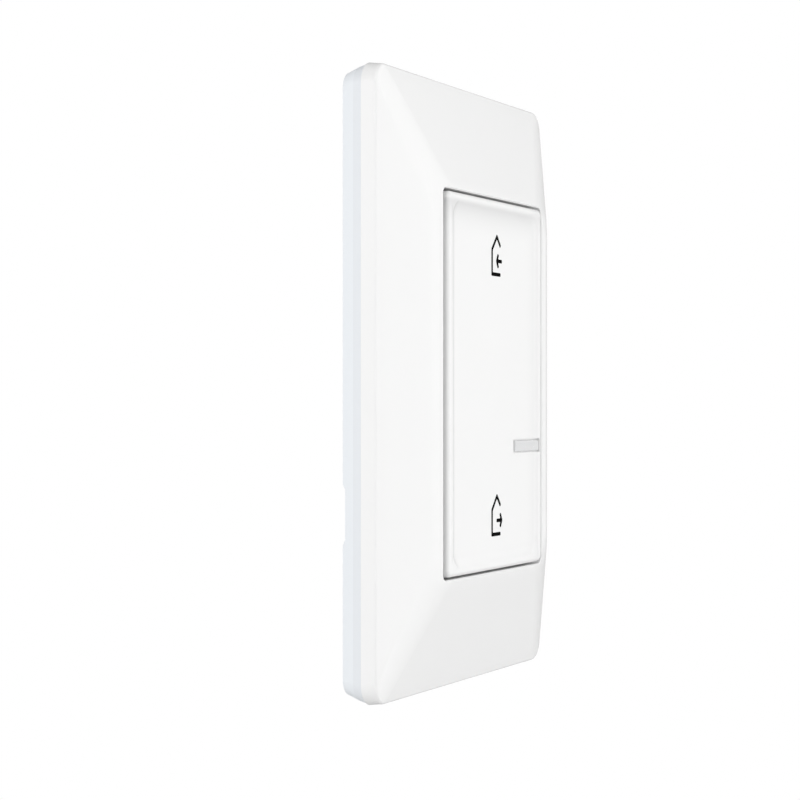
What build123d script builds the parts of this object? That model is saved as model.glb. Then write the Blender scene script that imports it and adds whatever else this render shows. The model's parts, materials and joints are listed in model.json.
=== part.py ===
from build123d import *
import os
from math import atan2, cos, sqrt, tan

# A wireless rocker switch for the wall: cover plate, wall frame, and a battery mechanism under one rocker.
# Every piece is drawn lying on its back: x to the right, y up the wall, z out of the wall.
# It is stood up against the wall, front towards -Y, when it is written. Lengths are in millimetres.

# Cover plate
plate_width = 80.0
plate_height = 120.0
plate_corner = 3.8
side_depth = 7.6
rim_depth = 2.95
rim_flare = 0.35
rim_wall = 1.8
rim_edge_radius = 0.7
crown_rise = 6.8
plate_wall = 2.0
opening_width = 49.5
opening_height = 75.4
opening_corner = 1.6
opening_flare = 0.3
lip_side = 3.4
lip_end = 0.4
lip_corner = 7.5
lip_radius = 6.0
lip_sections = 6
collar_wall = 1.2
collar_depth = 3.4
hook_width = 8.0
hook_thickness = 1.3
hook_reach = 0.8
hook_height = 1.2
hook_spacing = 40.0

# Wall frame
frame_front_inset = -0.2
frame_crease_inset = 0.3
frame_wall_inset = 1.2
frame_crease_level = 2.65
frame_inner_corner = 1.0
frame_upstand_wall = 1.4
frame_fit = 0.25
web_thickness = 1.6
rib_thickness = 1.0
rib_height = 1.4
slot_width = 4.0
slot_length = 7.5
slot_spacing = 83.5
notch_length = 9.4
notch_depth = 0.62
notch_ramp = 1.1
notch_centre = -24.6
clip_width = 7.0
clip_thickness = 1.3
clip_reach = 0.9
clip_lead = 1.8
clip_gap = 0.1
clip_spacing = 32.0
pad_width = 20.0
pad_height = 10.0
pad_thickness = 0.8
pad_side_inset = 6.5
pad_end_inset = 2.5
pad_corner = 1.0

# Rocker
rocker_end_gap = 0.5
rocker_side_gap = 1.4
rocker_proud = 0.5
rocker_corner = 1.5
rocker_edge_radius = 0.9
rocker_side_border = 1.7
rocker_end_border = 1.5
rocker_skin = 1.5
rocker_wall = 1.4
skirt_depth = 3.7
dish_depth = 0.45
dish_radius = 5.0
pin_radius = 1.0
pin_length = 2.0
ear_radius = 2.0
ear_clearance = 0.3
rocker_rib = 1.0
rocker_rib_depth = 0.8
rocker_rib_x = 6.0
rocker_rib_y = 25.0
actuator_radius = 2.4
actuator_gap = 0.05

# Light path
bar_length = 13.05
bar_height = 2.8
bar_level = -12.56
bar_flange = 0.9
bar_flange_thickness = 0.8
bar_fit = 0.25
bar_proud = 0.35
bar_edge = 0.15
led_length = 3.2
led_width = 2.4
led_height = 0.7
led_inset = 7.0
guide_length = 10.2
guide_width = 2.2
guide_flange = 0.9
guide_flange_thickness = 0.8
guide_gap = 0.45

# Housing, chassis and board
bearing_clearance = 0.06
post_wall = 0.7
post_thickness = 2.0
post_length = 6.0
post_headroom = 0.3
side_play = 0.3
deck_thickness = 1.0
component_room = 0.9
board_thickness = 1.0
board_fit = 0.4
contact_room = 0.5
coin_float = 0.2
housing_margin = 1.0
housing_end_inset = 4.0
housing_wall = 1.4
housing_floor = 1.2
housing_corner = 3.0
flange_width = 2.5
flange_thickness = 1.2
housing_fit = 0.5
flange_fit = 0.3
board_post_radius = 2.0
board_post_inset = 4.6
board_post_y = 8.0
board_stub_radius = 1.5
screw_inset = 5.5
screw_end_inset = 4.5
screw_radius = 1.0
screw_head_radius = 1.9
screw_head_height = 1.1
screw_fit = 0.1
drive_length = 2.7
drive_width = 0.5
drive_depth = 0.6
boss_wall = 1.5
boss_height = 1.9
boss_cap = 0.5
boss_fit = 0.2

# Battery and its springs
coin_diameter = 20.0
coin_height = 3.2
coin_cap_diameter = 17.6
coin_cap_height = 0.5
coin_edge = 0.35
coin_end_inset = 8.1
coin_fit = 0.3
pocket_wall = 1.2
pocket_lug_width = 4.0
pocket_lug_reach = 0.7
pocket_lugs = 3
pocket_lug_turn = 30.0
spring_thickness = 0.2
spring_width = 4.0
spring_foot = 2.6
spring_gap = 0.05

# Tactile switches
switch_size = 6.0
switch_arm = 16.0
switch_base_height = 1.9
switch_cover_height = 0.3
switch_well_radius = 2.15
switch_well_floor = 0.5
switch_hole_fit = 0.2
switch_play = 0.5
plunger_stem_radius = 1.6
plunger_flange_radius = 2.0
plunger_flange_thickness = 0.4
plunger_stand = 1.3

# Radio module and capacitor
radio_width = 15.0
radio_length = 20.0
radio_thickness = 0.8
radio_end_inset = 6.1
shield_width = 12.6
shield_length = 13.0
shield_height = 1.8
shield_corner = 0.6
shield_inset = 0.8
antenna_width = 7.0
antenna_length = 2.0
antenna_height = 1.1
capacitor_length = 7.3
capacitor_width = 4.3
capacitor_height = 1.9
capacitor_inset = 8.1
capacitor_end_inset = 11.6
body_edge = 0.3

# Room for rounding when an edge is looked up by its place
place_tolerance = 0.001

# Levels above the wall, worked out from the front down to the battery
frame_front = side_depth - rim_depth
hook_low = frame_front - frame_fit - hook_height
lip_level = side_depth + crown_rise
crest_level = lip_level + rocker_proud
face_level = crest_level - dish_depth
under_level = face_level - rocker_skin
skirt_level = crest_level - skirt_depth
post_top = under_level - post_headroom
bearing_radius = pin_radius + bearing_clearance
pivot_level = post_top - post_wall - bearing_radius
deck_front = pivot_level - ear_radius - ear_clearance
deck_back = deck_front - deck_thickness
board_front = deck_back - component_room
board_back = board_front - board_thickness
coin_front = board_back - contact_room
coin_back = coin_front - coin_height
floor_top = coin_back - coin_float
housing_back = floor_top - housing_floor
web_back = pad_thickness
web_front = web_back + web_thickness
flange_front = web_front + flange_thickness
plunger_top = board_front + switch_base_height + switch_cover_height + plunger_stand
guide_top = under_level - bar_flange_thickness - guide_gap
lip_x = opening_width / 2 + lip_side
lip_y = opening_height / 2 + lip_end
facet_rise = crown_rise / (plate_height / 2 - lip_y)
upstand_top = side_depth - plate_wall + facet_rise * (rim_wall + frame_fit) - frame_fit

# Outlines that several pieces share
rocker_width = opening_width - 2 * rocker_side_gap
rocker_height = opening_height - 2 * rocker_end_gap
rocker_inner_x = rocker_width / 2 - rocker_wall
dish_x = rocker_width / 2 - rocker_side_border
dish_y = rocker_height / 2 - rocker_end_border
bar_right = rocker_width / 2 - rocker_edge_radius - bar_fit
bar_left = bar_right - bar_length
housing_width = rocker_width + 2 * housing_margin
housing_height = rocker_height - 2 * housing_end_inset
flange_outer_x = housing_width / 2 + flange_width
flange_outer_y = housing_height / 2 + flange_width
rim_inner_corner = plate_corner - rim_wall / 2
upstand_width = plate_width - 2 * (rim_wall + frame_fit)
upstand_height = plate_height - 2 * (rim_wall + frame_fit)
frame_inner_x = upstand_width / 2 - frame_upstand_wall
frame_inner_y = upstand_height / 2 - frame_upstand_wall
pad_x = frame_inner_x - pad_side_inset - pad_width / 2
pad_y = frame_inner_y - pad_end_inset - pad_height / 2
housing_inner_x = housing_width / 2 - housing_wall
housing_inner_y = housing_height / 2 - housing_wall
board_post_x = housing_inner_x - board_post_inset
screw_x = housing_width / 2 - screw_inset
screw_y = housing_height / 2 - screw_end_inset
boss_radius = screw_radius + screw_fit + boss_wall
led_x = rocker_width / 2 - led_inset
pocket_radius = coin_diameter / 2 + coin_fit
coin_centre = coin_end_inset + pocket_radius + pocket_wall - housing_inner_y
radio_centre = housing_inner_y - radio_end_inset - radio_length / 2
capacitor_x = housing_inner_x - capacitor_inset
capacitor_y = capacitor_end_inset - housing_inner_y


def block(size_x, size_y, low, high, x=0.0, y=0.0, corner=0.0):
    """Prism with a rectangular outline, rounded in plan if a corner radius is given, between two levels."""
    outline = RectangleRounded(size_x, size_y, corner) if corner else Rectangle(size_x, size_y)
    return Pos(x, y, low) * extrude(outline, high - low)


def disc(radius, low, high, x=0.0, y=0.0):
    """Round prism between two levels."""
    return Pos(x, y, low) * extrude(Circle(radius), high - low)


def level_outline(width, height, corner, level):
    """Rounded rectangle at a level, as one section of a loft."""
    return Pos(0, 0, level) * RectangleRounded(width, height, corner)


def four(x, y):
    """Places of a piece that repeats left and right, top and bottom."""
    return [(sx * x, sy * y) for sx in (-1, 1) for sy in (-1, 1)]


def across(profile, width):
    """Solid of a y-z profile, spread evenly to both sides of the middle plane."""
    return extrude(Plane.YZ * profile, width / 2, both=True)


def facet_slope(edge, lip):
    """Slope of a facet that rises from the plate's front edge to the lip, both measured from the middle."""
    return atan2(crown_rise, edge - lip)


def crown_reach(edge, lip, depth):
    """Distance from the middle to the crown's surface at a depth under the lip, which is rounded."""
    slope = facet_slope(edge, lip)
    if depth < lip_radius * (1 - cos(slope)):
        return lip - lip_radius * tan(slope / 2) + sqrt(2 * lip_radius * depth - depth**2)
    return lip + depth / tan(slope)


def crown_section(depth):
    """Outline of the crown at a depth under the lip."""
    return level_outline(
        2 * crown_reach(plate_width / 2, lip_x, depth),
        2 * crown_reach(plate_height / 2, lip_y, depth),
        lip_corner + (plate_corner - lip_corner) * depth / crown_rise,
        lip_level - depth,
    )


def crown():
    """Full outer form of the plate: flared rim, four facets with soft mitres, then the rounded lip."""
    back = level_outline(
        plate_width + 2 * rim_flare, plate_height + 2 * rim_flare, plate_corner + rim_flare, frame_front
    )
    edge = crown_section(crown_rise)
    steepest = max(facet_slope(plate_width / 2, lip_x), facet_slope(plate_height / 2, lip_y))
    turns = [steepest * step / lip_sections for step in range(lip_sections + 1)]
    round_lip = [crown_section(lip_radius * (1 - cos(turn))) for turn in turns]
    return loft([back, edge], ruled=True) + loft([edge, round_lip[-1]], ruled=True) + loft(round_lip)


def edges_at(solid, level):
    """Edges of a solid that lie wholly at one level."""
    return solid.edges().filter_by_position(Axis.Z, level - place_tolerance, level + place_tolerance)


def opening_cut():
    """Room of the opening through the plate, flared at its front edge."""
    straight = block(opening_width, opening_height, 0, lip_level, corner=opening_corner)
    inner = level_outline(opening_width, opening_height, opening_corner, lip_level - opening_flare)
    outer = level_outline(
        opening_width + 4 * opening_flare,
        opening_height + 4 * opening_flare,
        opening_corner + 2 * opening_flare,
        lip_level + opening_flare,
    )
    return straight + loft([inner, outer], ruled=True)


def plate_hook(side_x, side_y):
    """Snap hook under the plate, with a barb that points at the frame's upstand."""
    outer = frame_inner_y - frame_fit
    root = side_depth + facet_rise * (plate_height / 2 - outer) - plate_wall / 2
    stem_inner = outer - hook_thickness
    profile = Polyline(
        (stem_inner, root),
        (outer, root),
        (outer, hook_low + hook_height),
        (outer + hook_reach, hook_low + hook_height),
        (outer + hook_reach, hook_low + hook_height / 2),
        (outer, hook_low),
        (stem_inner, hook_low),
        close=True,
    )
    hook = across(make_face(profile), hook_width)
    if side_y < 0:
        hook = mirror(hook, Plane.XZ)
    return Pos(side_x * hook_spacing / 2, 0, 0) * hook


def cover_plate():
    """Hollow plate with a collar round its opening and four snap hooks."""
    outer = crown()
    room = block(
        plate_width - 2 * rim_wall,
        plate_height - 2 * rim_wall,
        0,
        lip_level,
        corner=rim_inner_corner,
    )
    hollow = Pos(0, 0, -plate_wall) * outer & room
    outer = fillet(edges_at(outer, side_depth), rim_edge_radius)
    collar = block(
        opening_width + 2 * collar_wall,
        opening_height + 2 * collar_wall,
        lip_level - collar_depth,
        lip_level - plate_wall / 2,
        corner=opening_corner + collar_wall,
    )
    plate = outer - hollow + (collar & outer) - opening_cut()
    for side_x in (-1, 1):
        for side_y in (-1, 1):
            plate += plate_hook(side_x, side_y)
    return plate


def frame_shell():
    """Outer form of the wall frame: two tapered bands, then the upstand that centres the plate."""
    sections = []
    for inset, level in (
        (frame_wall_inset, 0.0),
        (frame_crease_inset, frame_crease_level),
        (frame_front_inset, frame_front),
    ):
        sections.append(
            level_outline(plate_width - 2 * inset, plate_height - 2 * inset, plate_corner - inset / 2, level)
        )
    upstand = block(
        upstand_width,
        upstand_height,
        frame_crease_level,
        upstand_top,
        corner=rim_inner_corner - frame_fit,
    )
    return loft(sections, ruled=True) + upstand


def frame_clip(side_x, y):
    """Finger that snaps over the housing's flange."""
    inner = flange_outer_x + flange_fit
    top = flange_front + clip_gap
    profile = Polyline(
        (inner, web_front - web_thickness / 2),
        (inner, top),
        (inner - clip_reach, top),
        (inner, top + clip_lead),
        (inner + clip_thickness, top + clip_lead),
        (inner + clip_thickness, web_front - web_thickness / 2),
        close=True,
    )
    finger = Pos(0, y, 0) * extrude(Plane.XZ * make_face(profile), clip_width / 2, both=True)
    return finger if side_x > 0 else mirror(finger, Plane.YZ)


def wall_frame():
    """Frame that goes on the wall: slotted web, outer bands, ribs, clips, hook pockets and a prying notch."""
    frame = frame_shell()
    frame -= block(2 * frame_inner_x, 2 * frame_inner_y, web_front, crest_level, corner=frame_inner_corner)
    frame -= block(2 * frame_inner_x, 2 * frame_inner_y, 0, web_back, corner=frame_inner_corner)
    rib_top = web_front + rib_height
    rib_low = web_front - web_thickness / 2
    beside_slot = slot_width + rib_thickness
    end_rib = frame_inner_y - flange_outer_y - flange_fit
    side_rib = frame_inner_x - flange_outer_x - flange_fit - clip_thickness
    for side_x, side_y in four(1, 1):
        frame += block(
            rib_thickness,
            end_rib + rib_thickness,
            rib_low,
            rib_top,
            side_x * beside_slot,
            side_y * (frame_inner_y - end_rib / 2 + rib_thickness / 2),
        )
        frame += block(
            side_rib + rib_thickness,
            rib_thickness,
            rib_low,
            rib_top,
            side_x * (frame_inner_x - side_rib / 2 + rib_thickness / 2),
            side_y * clip_spacing,
        )
        frame += frame_clip(side_x, side_y * clip_spacing / 2)
        frame -= block(
            hook_width + 2 * frame_fit,
            hook_reach + frame_fit,
            hook_low - frame_fit,
            frame_front,
            side_x * hook_spacing / 2,
            side_y * (frame_inner_y + (hook_reach + frame_fit) / 2),
        )
    frame -= block(
        housing_width + 2 * housing_fit,
        housing_height + 2 * housing_fit,
        0,
        flange_front,
        corner=housing_corner,
    )
    for side_y in (-1, 1):
        slot = Pos(0, side_y * slot_spacing / 2) * SlotOverall(slot_length, slot_width, rotation=90)
        frame -= extrude(slot, web_front)
    half = notch_length / 2
    notch = Polyline(
        (notch_centre - half - notch_ramp, 0),
        (notch_centre + half + notch_ramp, 0),
        (notch_centre + half, notch_depth),
        (notch_centre - half, notch_depth),
        close=True,
    )
    return frame - Pos(-plate_width / 2, 0, 0) * across(make_face(notch), plate_width / 2)


def adhesive_pads():
    """Four foam pads between the web and the wall."""
    return [
        block(pad_width, pad_height, 0, web_back, x, y, corner=pad_corner)
        for x, y in four(pad_x, pad_y)
    ]


def rocker_form():
    """Outer form of the rocker: rounded border all round a dished face."""
    form = block(rocker_width, rocker_height, skirt_level, crest_level, corner=rocker_corner)
    form = fillet(edges_at(form, crest_level), rocker_edge_radius)
    overhang = dish_radius - sqrt(2 * dish_radius * dish_depth - dish_depth**2)
    dish = block(
        2 * (dish_x + overhang),
        2 * (dish_y + overhang),
        face_level,
        face_level + 2 * dish_radius,
        corner=dish_radius + rocker_corner,
    )
    return form - fillet(edges_at(dish, face_level), dish_radius)


def bar_slot(top, fit):
    """Room of the light bar in the rocker's face and right border, up to a level and drawn in by a fit."""
    return block(
        bar_length - 2 * fit,
        bar_height - 2 * fit,
        under_level,
        top,
        bar_left + bar_length / 2,
        bar_level,
    )


def light_bar():
    """Translucent bar that stands a little out of the rocker's face, with a flange under the skin."""
    left = bar_left - bar_flange
    right = rocker_inner_x - bar_fit
    flange = block(
        right - left,
        bar_height + 2 * bar_flange,
        under_level - bar_flange_thickness,
        under_level,
        (left + right) / 2,
        bar_level,
    )
    top = face_level + bar_proud
    return chamfer(edges_at(bar_slot(top, bar_fit), top), bar_edge) + flange


def rocker():
    """Hollow key with side ears and pins, two actuators, stiffening ribs and the light bar's slot."""
    key = rocker_form()
    key -= block(2 * rocker_inner_x, rocker_height - 2 * rocker_wall, skirt_level, under_level)
    rib_low = under_level - rocker_rib_depth
    rib_high = under_level + rocker_skin / 2
    for side in (-1, 1):
        key += block(rocker_rib, rocker_height - rocker_wall, rib_low, rib_high, side * rocker_rib_x)
        key += block(2 * rocker_inner_x + rocker_wall, rocker_rib, rib_low, rib_high, 0, side * rocker_rib_y)
        ear_face = Plane.YZ * Pos(0, pivot_level) * Circle(ear_radius)
        ear = Pos(rocker_inner_x, 0, 0) * extrude(ear_face, rocker_wall)
        ear += block(
            rocker_wall,
            2 * ear_radius,
            pivot_level,
            skirt_level + rocker_wall,
            rocker_inner_x + rocker_wall / 2,
        )
        pin_face = Plane.YZ * Pos(0, pivot_level) * Circle(pin_radius)
        ear += Pos(rocker_inner_x - pin_length, 0, 0) * extrude(pin_face, pin_length + rocker_wall / 2)
        key += ear if side > 0 else mirror(ear, Plane.YZ)
        key += disc(actuator_radius, plunger_top + actuator_gap, rib_high, 0, side * switch_arm)
    return key - bar_slot(crest_level + bar_fit, 0.0)


def chassis():
    """Lid of the housing: deck with windows for switches and light, bearing posts and screw bosses."""
    lid = block(housing_width, housing_height, deck_back, deck_front, corner=housing_corner)
    window = switch_size + 2 * board_fit
    post_outer = rocker_inner_x - side_play
    for side in (-1, 1):
        lid -= block(window, window, deck_back, deck_front, 0, side * switch_arm)
        post = block(
            post_thickness,
            post_length,
            deck_front - deck_thickness / 2,
            post_top,
            side * (post_outer - post_thickness / 2),
        )
        lid += post
    bearing = Plane.YZ * Pos(0, pivot_level) * Circle(bearing_radius)
    lid -= extrude(bearing, rocker_inner_x, both=True)
    for x, y in four(screw_x, screw_y):
        lid += disc(boss_radius, deck_front - deck_thickness / 2, deck_front + boss_height, x, y)
        lid -= disc(screw_radius + screw_fit / 2, deck_back, deck_front + boss_height - boss_cap, x, y)
    for x, y in four(board_post_x, board_post_y):
        lid += disc(board_stub_radius, board_front, deck_back + deck_thickness / 2, x, y)
    return lid - block(
        guide_length + 2 * bar_fit, guide_width + 2 * bar_fit, deck_back, deck_front, led_x, bar_level
    )


def rear_housing():
    """Tray behind the chassis: flange, screw bosses, board posts and an open pocket for the battery."""
    tray = block(housing_width, housing_height, housing_back, deck_back, corner=housing_corner)
    tray += block(
        2 * flange_outer_x, 2 * flange_outer_y, web_front, flange_front, corner=housing_corner
    )
    tray -= block(
        2 * housing_inner_x,
        2 * housing_inner_y,
        floor_top,
        deck_back,
        corner=housing_corner - housing_wall,
    )
    tray += disc(pocket_radius + pocket_wall, housing_back, coin_front - coin_cap_height, 0, coin_centre)
    tray -= disc(pocket_radius, housing_back, deck_back, 0, coin_centre)
    lug_length = pocket_lug_reach + pocket_wall / 2
    lug_middle = pocket_radius - pocket_lug_reach + lug_length / 2
    lug = block(lug_length, pocket_lug_width, housing_back, floor_top)
    for place in PolarLocations(lug_middle, pocket_lugs, pocket_lug_turn):
        tray += Pos(0, coin_centre, 0) * place * lug
    gap_depth = coin_fit + pocket_wall + spring_foot
    tray -= block(
        spring_width + 2 * coin_fit,
        gap_depth,
        floor_top,
        deck_back,
        0,
        coin_centre - (coin_diameter + gap_depth) / 2,
    )
    for x, y in four(board_post_x, board_post_y):
        tray += disc(board_post_radius, floor_top - housing_floor / 2, board_back, x, y)
    for x, y in four(screw_x, screw_y):
        tray += disc(boss_radius, floor_top - housing_floor / 2, deck_back, x, y)
        tray -= disc(screw_radius + screw_fit, housing_back, deck_back, x, y)
        tray -= disc(screw_head_radius + screw_fit, housing_back, housing_back + screw_head_height, x, y)
    return tray


def housing_screws():
    """Four pan-head screws from the back of the housing into the chassis, each with a straight drive slot."""
    screws = []
    for x, y in four(screw_x, screw_y):
        tip = deck_front + boss_height - boss_cap - screw_fit
        screw = disc(screw_head_radius, housing_back, housing_back + screw_head_height, x, y)
        screw += disc(screw_radius, housing_back, tip, x, y)
        drive = block(drive_length, drive_width, housing_back, housing_back + drive_depth, x, y)
        screws.append(screw - drive)
    return screws


def circuit_board():
    """Board that hangs on the housing's posts, with holes where the screw bosses pass."""
    board = block(
        2 * housing_inner_x - board_fit,
        2 * housing_inner_y - board_fit,
        board_back,
        board_front,
        corner=housing_corner - housing_wall,
    )
    for x, y in four(screw_x, screw_y):
        board -= disc(boss_radius + boss_fit, board_back, board_front, x, y)
    return board


def coin_cell():
    """Coin battery with its small cap towards the board."""
    can = disc(coin_diameter / 2, coin_back, coin_front - coin_cap_height, 0, coin_centre)
    can = chamfer(can.edges(), coin_edge)
    return can + disc(coin_cap_diameter / 2, coin_back + coin_edge, coin_front, 0, coin_centre)


def battery_negative_spring():
    """Leaf soldered to the board, bent to press on the middle of the battery's cap."""
    foot = pocket_radius + pocket_wall
    tip_level = coin_front + spring_thickness / 2
    foot_level = board_back - spring_thickness / 2
    path = Polyline(
        (-foot - spring_foot, foot_level),
        (-foot, foot_level),
        (-spring_foot, tip_level),
        (spring_foot / 2, tip_level),
        (spring_foot, tip_level + spring_thickness / 2),
    )
    leaf = Plane.XZ * trace(path, spring_thickness)
    return Pos(0, coin_centre, 0) * extrude(leaf, spring_width / 2, both=True)


def battery_positive_spring():
    """Angle soldered to the board, standing against the side of the battery's can."""
    side = -coin_diameter / 2 - spring_gap
    profile = Polyline(
        (side, board_back),
        (side, coin_back + coin_edge),
        (side - spring_thickness, coin_back + coin_edge),
        (side - spring_thickness, board_back - spring_thickness),
        (side - spring_foot, board_back - spring_thickness),
        (side - spring_foot, board_back),
        close=True,
    )
    return Pos(0, coin_centre, 0) * across(make_face(profile), spring_width)


def switch_base(side):
    """Moulded base of a tactile switch, with the well that the plunger travels in."""
    top = board_front + switch_base_height
    base = block(switch_size, switch_size, board_front, top, 0, side * switch_arm, corner=body_edge)
    return base - disc(switch_well_radius, board_front + switch_well_floor, top, 0, side * switch_arm)


def switch_cover(side):
    """Sheet cover that keeps the plunger in its base."""
    low = board_front + switch_base_height
    high = low + switch_cover_height
    cover = block(switch_size, switch_size, low, high, 0, side * switch_arm, corner=body_edge)
    return cover - disc(plunger_stem_radius + switch_hole_fit, low, high, 0, side * switch_arm)


def switch_plunger(side):
    """Flanged button of a tactile switch, half pressed at rest so that it follows the rocker both ways."""
    flange_top = board_front + switch_base_height - switch_play
    flange_low = flange_top - plunger_flange_thickness
    plunger = disc(plunger_flange_radius, flange_low, flange_top, 0, side * switch_arm)
    return plunger + disc(plunger_stem_radius, flange_low, plunger_top, 0, side * switch_arm)


def radio_board():
    """Carrier of the radio module, soldered flat to the back of the board."""
    return block(
        radio_width, radio_length, board_back - radio_thickness, board_back, 0, radio_centre, corner=body_edge
    )


def radio_shield():
    """Shield can over the radio chip."""
    high = board_back - radio_thickness
    y = radio_centre - radio_length / 2 + shield_inset + shield_length / 2
    can = block(shield_width, shield_length, high - shield_height, high, 0, y, corner=shield_corner)
    return chamfer(edges_at(can, high - shield_height), body_edge)


def chip_antenna():
    """Ceramic antenna at the free end of the radio's carrier."""
    high = board_back - radio_thickness
    y = radio_centre + radio_length / 2 - shield_inset - antenna_length / 2
    return block(antenna_width, antenna_length, high - antenna_height, high, 0, y)


def status_led():
    """Flat light source under the light guide."""
    return block(
        led_length, led_width, board_front, board_front + led_height, led_x, bar_level, corner=body_edge
    )


def light_guide():
    """Clear block that carries the light through the deck, with a flange that rests on it."""
    guide = block(guide_length, guide_width, deck_back, guide_top, led_x, bar_level)
    return guide + block(
        guide_length + 2 * guide_flange,
        guide_width + 2 * guide_flange,
        deck_front,
        deck_front + guide_flange_thickness,
        led_x,
        bar_level,
    )


def buffer_capacitor():
    """Moulded capacitor that carries the radio's current peaks."""
    body = block(
        capacitor_length,
        capacitor_width,
        board_back - capacitor_height,
        board_back,
        capacitor_x,
        capacitor_y,
    )
    return chamfer(edges_at(body, board_back - capacitor_height), body_edge)


def write(node, piece):
    """Stand one piece, or a group of separate solids, up against the wall and write its file."""
    solids = piece if isinstance(piece, list) else [piece]
    stood = [Plane.XZ.location * solid for solid in solids]
    export_step(stood[0] if len(stood) == 1 else Compound(children=stood), f"parts/{node}.step")


os.makedirs("parts", exist_ok=True)
for make in (
    cover_plate,
    wall_frame,
    adhesive_pads,
    rocker,
    light_bar,
    chassis,
    rear_housing,
    housing_screws,
    circuit_board,
    coin_cell,
    battery_negative_spring,
    battery_positive_spring,
    radio_board,
    radio_shield,
    chip_antenna,
    status_led,
    light_guide,
    buffer_capacitor,
):
    write(make.__name__, make())
for place, side in (("upper", 1), ("lower", -1)):
    for make in (switch_base, switch_cover, switch_plunger):
        write(f"{place}_{make.__name__}", make(side))
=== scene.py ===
"""Dresses a wireless wall switch: smooth shells, fine finishes, printed signs and soft studio light."""

import json
import logging
import math
from dataclasses import dataclass, replace
from enum import Enum

import bpy
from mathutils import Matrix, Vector


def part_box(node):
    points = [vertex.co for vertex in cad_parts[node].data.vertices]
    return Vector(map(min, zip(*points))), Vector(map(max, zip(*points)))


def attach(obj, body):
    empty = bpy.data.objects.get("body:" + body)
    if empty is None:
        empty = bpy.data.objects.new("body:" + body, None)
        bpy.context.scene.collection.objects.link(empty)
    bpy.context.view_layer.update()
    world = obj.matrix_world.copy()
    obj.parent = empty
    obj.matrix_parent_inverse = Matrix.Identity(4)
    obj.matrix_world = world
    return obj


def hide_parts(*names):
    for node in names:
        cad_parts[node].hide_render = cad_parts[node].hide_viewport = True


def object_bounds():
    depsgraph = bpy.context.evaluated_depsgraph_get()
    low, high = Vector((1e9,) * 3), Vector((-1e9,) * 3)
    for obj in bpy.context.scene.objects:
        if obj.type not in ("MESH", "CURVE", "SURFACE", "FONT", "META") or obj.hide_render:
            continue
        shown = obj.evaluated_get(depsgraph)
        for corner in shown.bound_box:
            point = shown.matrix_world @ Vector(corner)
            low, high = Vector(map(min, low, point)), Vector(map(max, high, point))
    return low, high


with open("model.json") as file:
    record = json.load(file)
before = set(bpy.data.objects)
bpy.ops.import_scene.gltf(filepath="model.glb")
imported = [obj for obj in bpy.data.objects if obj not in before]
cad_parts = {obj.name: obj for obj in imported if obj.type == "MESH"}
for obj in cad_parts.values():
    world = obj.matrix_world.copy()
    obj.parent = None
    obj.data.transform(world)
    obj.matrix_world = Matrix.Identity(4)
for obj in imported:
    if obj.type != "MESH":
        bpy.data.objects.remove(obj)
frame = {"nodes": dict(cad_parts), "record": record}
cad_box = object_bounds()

MM = 0.001
UM = 0.000001
LOG = logging.getLogger("wall_switch")

Colour = tuple[float, float, float]
Point = tuple[float, float]
Place = tuple[float, float, float]
Socket = bpy.types.NodeSocket

# A Mix node has sockets for every kind of data, and these are the ones for colours
MIX_SHARE, MIX_FIRST, MIX_SECOND, MIX_RESULT = 0, 6, 7, 2


class Slot(Enum):
    """Material slots of the record."""

    PLATE = "plate"
    FRAME = "frame"
    PAD = "pad"
    KEY = "key"
    LIGHT_BAR = "light_bar"
    CHASSIS = "chassis"
    HOUSING = "housing"
    SCREW = "screw"
    BOARD = "board"
    COIN = "coin"
    CONTACT = "contact"
    SWITCH_BASE = "switch_base"
    SWITCH_COVER = "switch_cover"
    PLUNGER = "plunger"
    RADIO_BOARD = "radio_board"
    SHIELD = "shield"
    ANTENNA = "antenna"
    LED = "led"
    LIGHT_GUIDE = "light_guide"
    CAPACITOR = "capacitor"


class Body(Enum):
    """Bodies that pieces ride on."""

    BASE = "base"
    ROCKER = "rocker"
    UPPER_PLUNGER = "upper_plunger"
    LOWER_PLUNGER = "lower_plunger"


class Way(Enum):
    """Way that a sign's arrow points: into the house or out of it."""

    ARRIVE = -1
    LEAVE = 1


class Pattern(Enum):
    """Grain that a finish is built on."""

    MOULD = "mould_grain"
    ROLLED = "rolled_grain"
    TRACKS = "board_tracks"


class Facing(Enum):
    """Side that a print looks to, as the sign of its way along the depth."""

    FRONT = -1
    WALL = 1


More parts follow.
